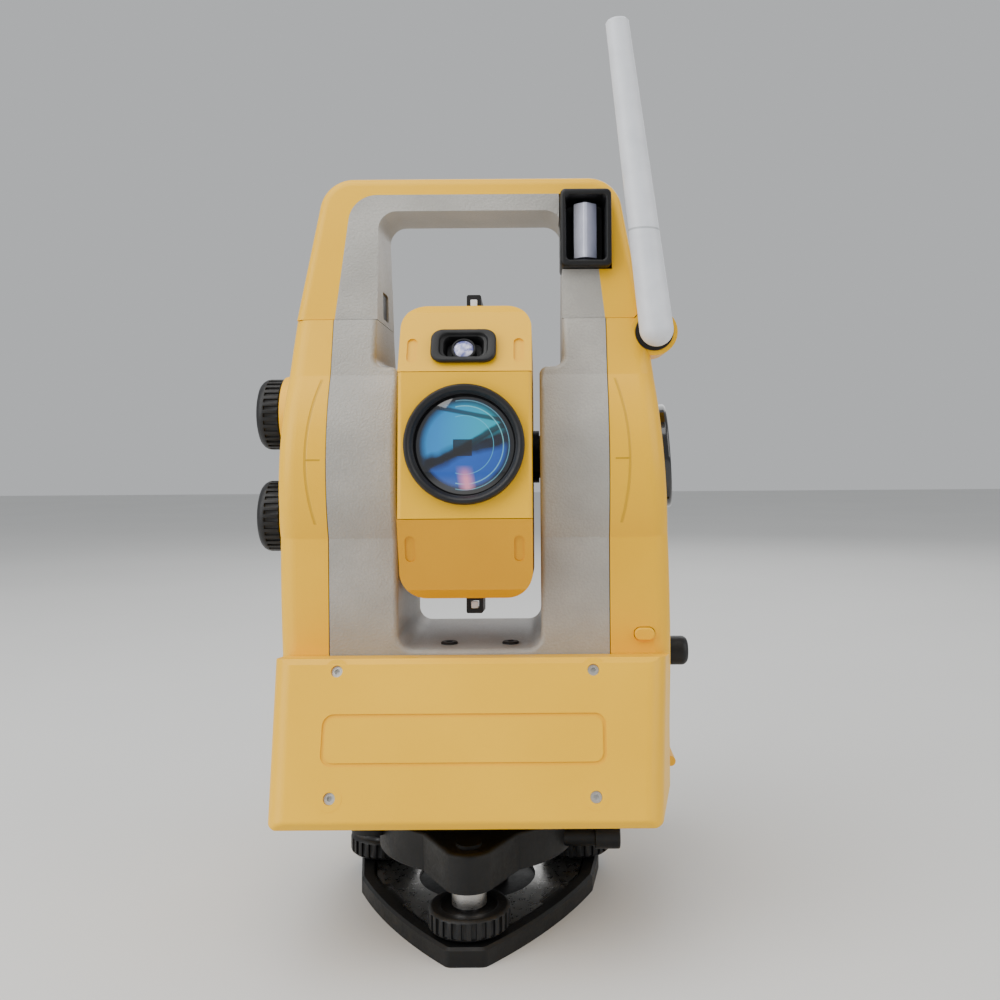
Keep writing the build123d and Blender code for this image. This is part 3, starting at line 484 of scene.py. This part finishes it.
def makeFootKnobs():
    k = footKnob
    steps = [(12, k["low"]), (k["radius"] - 1.6, k["low"]), (k["radius"], k["low"] + 1.4), (k["radius"], k["high"] - 1.4),
             (k["radius"] - 1.6, k["high"]), (13.6, k["high"]), (12.8, k["high"] - 1.1), (8.6, k["high"] - 1.1)]
    for side in ("front", "right", "left"):
        low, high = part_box("foot_knob_" + side)
        middle = (Vector(low) + Vector(high)) / 2
        knob = flutedKnob(steps, k["flutes"], k["depth"], k["low"], k["high"])
        bevelled(knob, 0.35)
        settle(knob, "footKnob." + side, "foot_screw_" + side, finishes["black_plastic"],
               Matrix.Translation((middle.x, middle.y, 0)))
        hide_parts("foot_knob_" + side)


jogKnob = {"radius": 18.4, "thick": 12.4, "flutes": 30, "depth": 1.1, "face": -98.3, "y": 5.0}


def makeJogKnobs():
    k = jogKnob
    r, t = k["radius"], k["thick"]
    steps = [(13, 0), (r - 1.0, 0), (r, 0.9), (r, 8.0), (r - 0.25, 9.4), (r - 1.0, 10.8), (r - 2.2, 11.9), (r - 3.6, t),
             (13.2, t), (12.7, t - 0.5), (11, t - 0.5)]
    for name, height in (("vertical", 247.0), ("horizontal", 194.0)):
        knob = flutedKnob(steps, k["flutes"], k["depth"], 0.9, 8.0)
        bevelled(knob, 0.3)
        stem = turned([(4, -18.4), (4, 0.2)], 32)
        clear()
        knob.select_set(True)
        stem.select_set(True)
        bpy.context.view_layer.objects.active = knob
        bpy.ops.object.join()
        settle(knob, "jogKnob." + name, "jog_" + name, finishes["black_plastic"],
               at(k["face"], k["y"], height) @ toLeft)
        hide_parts("jog_knob_" + name)


# ---- telescope optics
objective = {"ringOut": 27.2, "ringIn": 24.3, "glass": 23.1}


def makeLensGlass():
    # painted reflections over deep dark glass: two broad blue crescents with a dark reflected band between, thin bright
    # arcs and a pink streak low down
    glass = Shade("paintedReflectionGlass")
    x = glass.axis("X") * 1000
    z = glass.axis("Z") * 1000 - 230.0
    radius = (x * x + z * z) ** 0.5
    swirl = glass.noise(60, 3)
    # painted reflection: upper and lower are the two broad blue crescents
    upper = glass.span(z - x * 0.35 + swirl * 10, 3, 7).clamped() * glass.span(radius, 20.5, 17).clamped()
    lower = glass.span(x * 0.3 - z + swirl * 8, 8, 11).clamped() * glass.span(radius, 20, 18).clamped()
    color = glass.blend(glass.span(swirl, 0.4, 0.6), (0.001, 0.002, 0.010), (0.002, 0.016, 0.045))
    color = glass.blend(upper * 0.85, color, glass.blend(glass.span(x, -12, 12), (0.01, 0.24, 0.62), (0.0, 0.42, 0.56)))
    color = glass.blend(lower * 0.8, color, (0.01, 0.10, 0.50))
    # painted reflection: dark bands between the crescents and along the top
    darkReflectionBand = (z - x * 0.55 - 2.0 + swirl * 6).unsigned()
    color = glass.blend(glass.span(darkReflectionBand, 2.4, 1.2).clamped() * 0.85, color, (0.001, 0.002, 0.006))
    darkReflectionRim = (z - 14.5 + x * 0.2).unsigned()
    color = glass.blend(glass.span(darkReflectionRim, 1.3, 0.7).clamped() * 0.8, color, (0.001, 0.003, 0.008))
    # painted glints: thin bright arcs on the right side of the glass
    reflectionArcs = ((17.6, 0.35, (0.25, 0.75, 0.85)), (13.2, 0.25, (0.10, 0.55, 0.75)), (20.2, 0.3, (0.2, 0.6, 0.8)))
    for reach, width, tint in reflectionArcs:
        gap = (radius - reach).unsigned()
        color = glass.blend(glass.span(gap, width, 0.0).clamped() * x.over(-4.0) * 0.7, color, tint)
    # painted reflection: a pink streak low down
    pinkReflection = glass.span((x + 1.5 + z * 0.15).unsigned(), 4.2, 0.6).clamped()
    pinkReflection = pinkReflection * glass.span(z, -9, -15).clamped() * glass.span(radius, 20.6, 19.6).clamped()
    color = glass.blend(pinkReflection * 0.9, color, (0.85, 0.28, 0.42))
    color = glass.blend(glass.span(radius, 20.4, 21.4).clamped(), color, (0.001, 0.001, 0.002))
    block = (x + 0.5).under(4.0) * (x * -1 - 0.5).under(4.5) * z.under(2.5) * (z * -1).under(5.0)
    color = glass.blend(block * 0.9, color, (0.004, 0.004, 0.005))
    glass.set(Base_Color=color, Roughness=glass.span(swirl, 0.2, 0.8, 0.02, 0.06), IOR=1.6, Coat_Weight=1.0,
              Coat_Roughness=0.02)
    return glass.material


def makeObjective():
    k = objective
    tube = turned([(24.6, 4), (24.6, 34), (23.4, 34), (22.6, 32), (22.6, 29), (20.6, 29), (20.6, 27), (19.2, 27), (19.2, 23),
                   (17.6, 23), (17.6, 6)], 96)
    settle(tube, "lensBarrel", "telescope", finishes["black_plastic"], tilt @ at(0, -36, 0) @ toFront)
    ring = turned([(k["glass"] + 0.2, 66.4), (26.6, 70.1), (k["ringOut"], 70.1), (k["ringOut"], 74.0), (26.4, 75.2),
                   (25.2, 75.2), (24.6, 74.6), (k["ringIn"], 74.6), (23.7, 72.6), (k["glass"], 72.0), (k["glass"], 66.6)],
                  128)
    bevelled(ring, 0.2)
    settle(ring, "objectiveRing", "telescope", finishes["dark_grey_plastic"], tilt @ toFront)
    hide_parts("objective_ring")
    dome = [(k["glass"], 69.6)]
    ball = 110.0
    for i in range(14):
        r = k["glass"] * (1 - i / 14)
        dome.append((r, 69.9 + math.sqrt(ball**2 - r**2) - math.sqrt(ball**2 - k["glass"] ** 2)))
    dome.append((0.3, dome[-1][1] + 0.02))
    glass = turned(dome, 96)
    settle(glass, "objectiveGlass", "telescope", makeLensGlass(), tilt @ toFront, 60)
    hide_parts("objective_lens")


# ---- wide-angle camera above the objective
cameraWindow = {"place": (-0.7, -65.6, 45.2), "lean": 66.8, "lensDrop": -0.9, "lensRadius": 5.7, "glassRadius": 4.5}


def makeCameraGlass():
    glass = Shade("cameraGlass")
    cloud = glass.noise(420, 3)
    # painted reflection: pale lilac clouds over the blue glass stand in for light reflected off the lens
    color = glass.blend(glass.span(cloud, 0.4, 0.62), (0.16, 0.17, 0.42), (0.72, 0.70, 0.86))
    glass.set(Base_Color=color, Roughness=glass.span(cloud, 0.2, 0.8, 0.03, 0.08), Coat_Weight=1.0)
    return glass.material


def makeCameraWindow():
    k = cameraWindow
    place = tilt @ at(*k["place"]) @ Matrix.Rotation(math.radians(k["lean"]), 4, "X")
    frame = stepped([(19.6, 12.2, -6), (19.6, 12.2, 0.6), (30, 17.6, 0.6), (30, 17.6, 2.0), (29, 16.7, 2.6), (22.4, 13.0, 2.5),
                     (21.4, 12.0, 1.0), (18.6, 11.2, 0.8), (17.0, 10.4, -1.6), (16, 10, -5)], 3.6)
    bevelled(frame, 0.25)
    settle(frame, "cameraFrame", "telescope", finishes["black_plastic"], place)
    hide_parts("camera_bezel")
    r, g = k["lensRadius"], k["glassRadius"]
    seat = place @ at(0, k["lensDrop"], 0)
    mount = turned([(r, -5), (r, 0.2), (r - 0.5, 0.7), (g + 0.3, 0.7), (g, 0.1), (g, -0.3)], 64)
    settle(mount, "cameraLensMount", "telescope", finishes["black_plastic"], seat)
    dome = turned([(g, -1), (g, -0.1), (g * 0.8, 0.4), (g * 0.55, 0.75), (g * 0.3, 0.95), (0.2, 1.0)], 48)
    settle(dome, "cameraGlass", "telescope", makeCameraGlass(), seat, 60)
    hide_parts("camera_lens")


# ---- beam window in the handle
beamWindow = {"middle": (57.3, 0, 336.5), "prismMiddle": (57.2, 0, 336.0), "width": 11.2, "height": 27.0}


def makePrismGlass():
    glass = Shade("milkyPrism")
    cloud = glass.noise(90, 3)
    across = glass.span(glass.axis("X") * 1000, 52, 62)
    color = glass.blend(across, (0.80, 0.80, 0.90), (0.42, 0.44, 0.60))
    color = glass.blend(glass.span(cloud, 0.4, 0.7) * 0.4, color, (0.30, 0.33, 0.46))
    glass.set(Base_Color=color, Roughness=glass.span(cloud, 0.2, 0.8, 0.04, 0.1), Coat_Weight=0.8)
    return glass.material


def makeBeamWindow():
    k = beamWindow
    frame = stepped([(25.2, 38.2, 0.4), (25.2, 38.2, 29.6), (24.4, 37.4, 30.6), (23.2, 36.2, 31.0), (20.6, 32.6, 31.0),
                     (19.6, 31.6, 30.0), (19.0, 30.6, 20), (18.4, 30, 9)], 2.6)
    bevelled(frame, 0.3)
    settle(frame, "beamFrame", "alidade", finishes["black_plastic"], at(*k["middle"]) @ toFront)
    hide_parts("beam_housing")
    w, h = k["width"], k["height"]
    prism = stepped([(w, h, 10), (w, h, 23.4), (w * 0.12, h, 27.3)], 0.4)
    bevelled(prism, 0.25)
    settle(prism, "beamPrism", "alidade", makePrismGlass(), at(*k["prismMiddle"]) @ toFront, 20)
    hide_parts("beam_prism")


# ---- small sight windows and floor screws
trims = {"screw": 4.1, "screwSpots": ((-11, -30), (19, -30)), "floor": 133.0}


def makeTrims():
    k = trims
    for name, spot in (("upper", (2.5, -42.0, 71.5)), ("lower", (2.5, -38.0, -73.5))):
        pane = stepped([(3.3, 3.3, -1.2), (3.3, 3.3, 0.2), (2.9, 2.9, 0.5)], 0.5)
        settle(pane, "sightPane." + name, "telescope", finishes["pale_plastic"], tilt @ at(*spot) @ toFront)
    for side, (x, y) in (("left", k["screwSpots"][0]), ("right", k["screwSpots"][1])):
        screw = turned([(k["screw"], 0), (k["screw"], 0.8), (k["screw"] - 0.5, 1.2), (1.7, 1.2), (1.6, 0.2)], 40)
        settle(screw, "floorScrew." + side, "alidade", finishes["dark_grey_plastic"],
               at(x, y, k["floor"] - 0.1))


makeFootKnobs()
makeJogKnobs()
makeObjective()
makeCameraWindow()
makeBeamWindow()
makeTrims()
print("knobs, optics and windows made")
